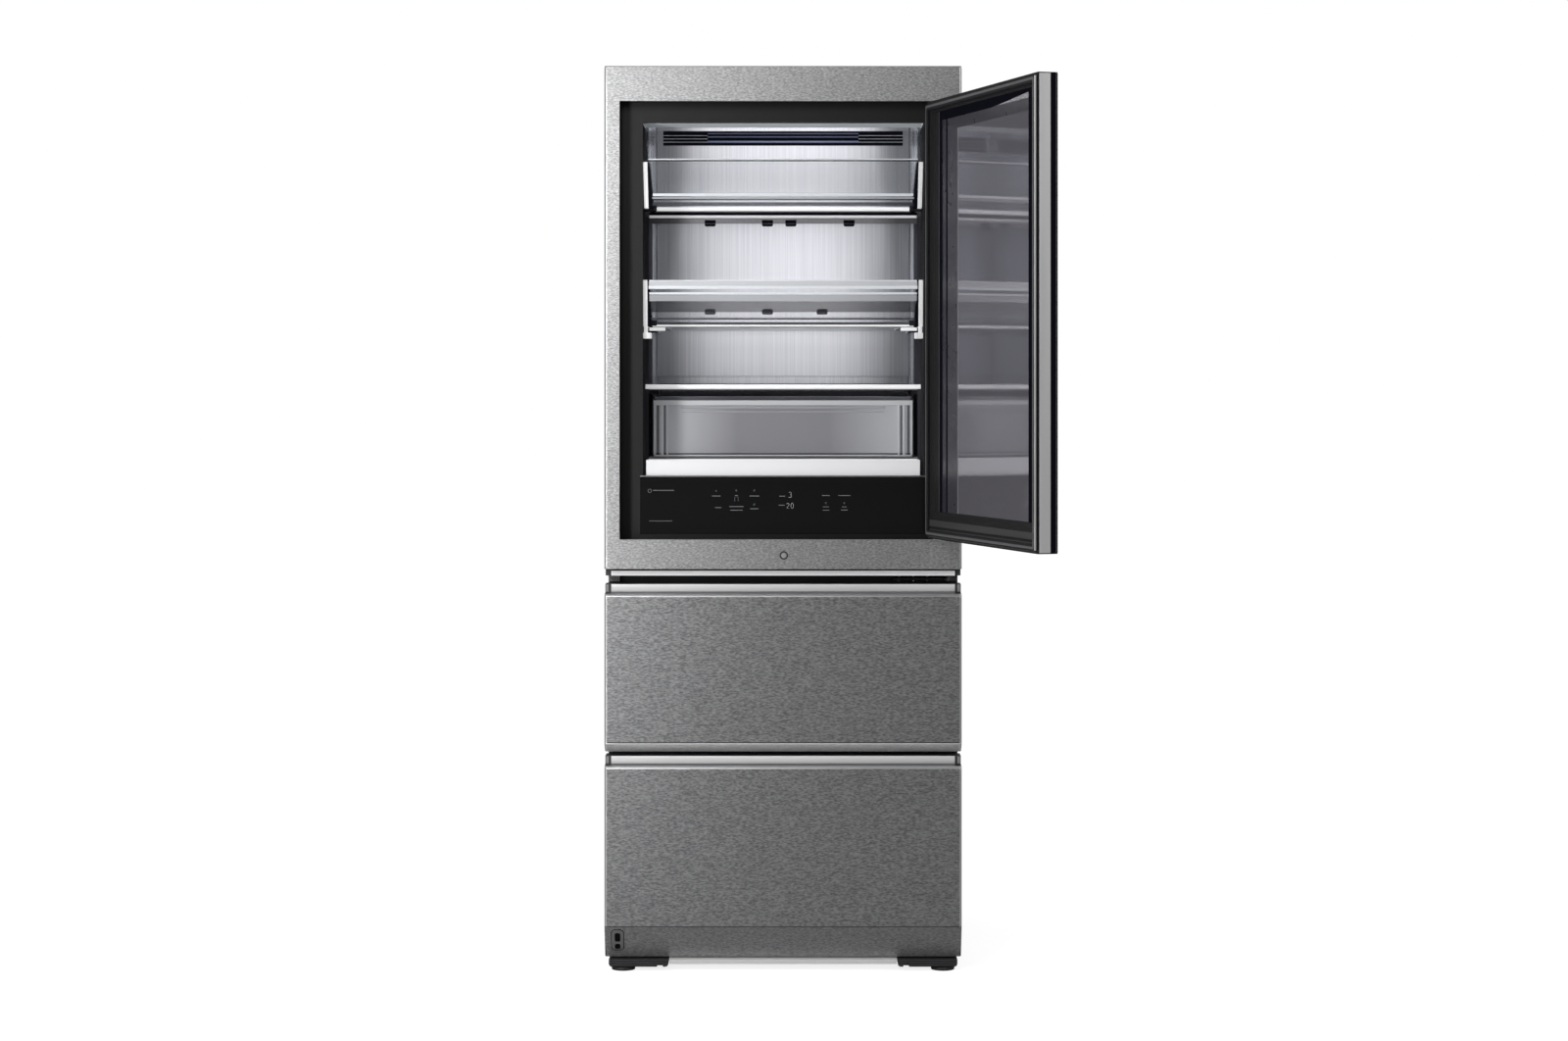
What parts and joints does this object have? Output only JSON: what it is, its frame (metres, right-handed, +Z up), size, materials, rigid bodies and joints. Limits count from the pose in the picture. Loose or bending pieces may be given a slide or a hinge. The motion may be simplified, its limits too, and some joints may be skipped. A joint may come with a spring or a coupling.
{
  "type": "fridge freezer",
  "caption": "Tall steel fridge freezer whose right-hung main door holds an inner glass door, standing open, over two full-width freezer drawers.",
  "frame": {"origin": "on the floor, at the middle of the cabinet's width and of its closed depth", "axes": "+X to the right as seen from the front, +Y to the back, +Z up"},
  "size_m": [0.9005, 1.3824, 1.909],
  "materials": {
    "shell_paint": "satin",
    "dark_steel": "satin",
    "foam": "matte",
    "white_liner": "satin",
    "galvanised": "satin",
    "brushed_skin": "satin",
    "bright_strip": "satin",
    "duct_metal": "satin",
    "shelf_glass": "gloss",
    "shelf_trim": "satin",
    "white_trim": "satin",
    "clear_plastic": "gloss",
    "coil_metal": "satin",
    "motor_black": "matte",
    "compressor_black": "gloss",
    "black_rubber": "matte",
    "condenser_black": "satin",
    "fan_plastic": "matte",
    "grey_plastic": "matte",
    "dark_cap": "satin",
    "seal_grey": "matte",
    "black_gloss": "gloss",
    "panel_glass": "gloss",
    "door_glass": "gloss",
    "door_inner_glass": "gloss",
    "glass_frame": "satin",
    "bright_pins": "polished",
    "zinc_screws": "polished",
    "roller_plastic": "matte",
    "sensor_black": "gloss"
  },
  "bodies": {
    "cabinet": {"cabinet_shell": "shell_paint", "front_frame": "dark_steel", "cabinet_foam": "foam", "fridge_liner": "white_liner", "freezer_liner": "white_liner", "back_panel": "galvanised", "base_frame": "dark_steel", "kick_plate": "bright_strip", "rear_duct_panel": "duct_metal", "shelf_glasses": "shelf_glass", "shelf_trims": "shelf_trim", "crisper_decks": "white_trim", "freezer_duct_cover": "white_liner", "evaporator": "coil_metal", "evaporator_fan_motor": "motor_black", "compressor": "compressor_black", "compressor_grommets": "black_rubber", "condenser": "condenser_black", "cooling_fan_motor": "motor_black", "drip_tray": "grey_plastic", "rear_cover": "galvanised", "cable_gland": "black_rubber", "hinge_brackets": "dark_steel", "hinge_screws": "zinc_screws", "top_hinge_cover": "dark_cap"},
    "main_door": {"main_door_skin": "brushed_skin", "main_door_caps": "dark_cap", "main_door_trims": "bright_strip", "main_door_foam": "foam", "main_door_seal": "seal_grey", "door_surround": "black_gloss", "door_ring": "white_liner", "control_panel": "panel_glass", "door_baskets": "clear_plastic", "lower_rack": "white_trim", "glass_door_pins": "bright_pins"},
    "glass_door": {"glass_door_outer_glass": "door_glass", "glass_door_frame": "glass_frame", "glass_door_inner_glass": "door_inner_glass", "glass_door_metalwork": "bright_strip", "glass_door_seal": "seal_grey"},
    "upper_drawer": {"upper_drawer_skin": "brushed_skin", "upper_drawer_body": "dark_cap", "upper_drawer_strip": "bright_strip", "upper_drawer_seal": "seal_grey", "upper_drawer_bin": "clear_plastic"},
    "lower_drawer": {"lower_drawer_skin": "brushed_skin", "lower_drawer_body": "dark_cap", "lower_drawer_strip": "bright_strip", "lower_drawer_seal": "seal_grey", "lower_drawer_bin": "clear_plastic", "motion_sensor": "sensor_black"},
    "crisper": {"crisper_drawer": "clear_plastic"},
    "fresh_box": {"fresh_drawer": "clear_plastic"},
    "freezer_fan": {"evaporator_fan": "fan_plastic"},
    "condenser_fan": {"cooling_fan": "fan_plastic"},
    "left_foot": {"foot_left": "black_rubber"},
    "right_foot": {"foot_right": "black_rubber"},
    "left_roller": {"roller_left": "roller_plastic"},
    "right_roller": {"roller_right": "roller_plastic"}
  },
  "joints": [
    {"name": "main_door_hinge", "type": "hinge", "parent": "cabinet", "child": "main_door", "pos_m": [0.355, -0.3325, 1.37], "axis": [0, 0, 1], "range_deg": [0, 110]},
    {"name": "glass_door_hinge", "type": "hinge", "parent": "main_door", "child": "glass_door", "pos_m": [0.3385, -0.3585, 1.373], "axis": [0, 0, 1], "range_deg": [-105.5, 0]},
    {"name": "upper_drawer_slide", "type": "slide", "parent": "cabinet", "child": "upper_drawer", "axis": [0, -1, 0], "range_m": [0, 0.4]},
    {"name": "lower_drawer_slide", "type": "slide", "parent": "cabinet", "child": "lower_drawer", "axis": [0, -1, 0], "range_m": [0, 0.36]},
    {"name": "crisper_slide", "type": "slide", "parent": "cabinet", "child": "crisper", "axis": [0, -1, 0], "range_m": [0, 0.22]},
    {"name": "fresh_box_slide", "type": "slide", "parent": "cabinet", "child": "fresh_box", "axis": [0, -1, 0], "range_m": [0, 0.11]},
    {"name": "evaporator_fan_spin", "type": "hinge", "parent": "cabinet", "child": "freezer_fan", "pos_m": [0, 0.2415, 0.725], "axis": [0, 1, 0], "continuous": true},
    {"name": "cooling_fan_spin", "type": "hinge", "parent": "cabinet", "child": "condenser_fan", "pos_m": [-0.008, 0.2625, 0.126], "axis": [1, 0, 0], "continuous": true},
    {"name": "left_foot_screw", "type": "hinge", "parent": "cabinet", "child": "left_foot", "pos_m": [-0.338, -0.3295, 0.01], "axis": [0, 0, 1], "continuous": true},
    {"name": "right_foot_screw", "type": "hinge", "parent": "cabinet", "child": "right_foot", "pos_m": [0.338, -0.3295, 0.01], "axis": [0, 0, 1], "continuous": true},
    {"name": "left_roller_axle", "type": "hinge", "parent": "cabinet", "child": "left_roller", "pos_m": [-0.32, 0.3075, 0.015], "axis": [1, 0, 0], "continuous": true},
    {"name": "right_roller_axle", "type": "hinge", "parent": "cabinet", "child": "right_roller", "pos_m": [0.32, 0.3075, 0.015], "axis": [1, 0, 0], "continuous": true}
  ]
}
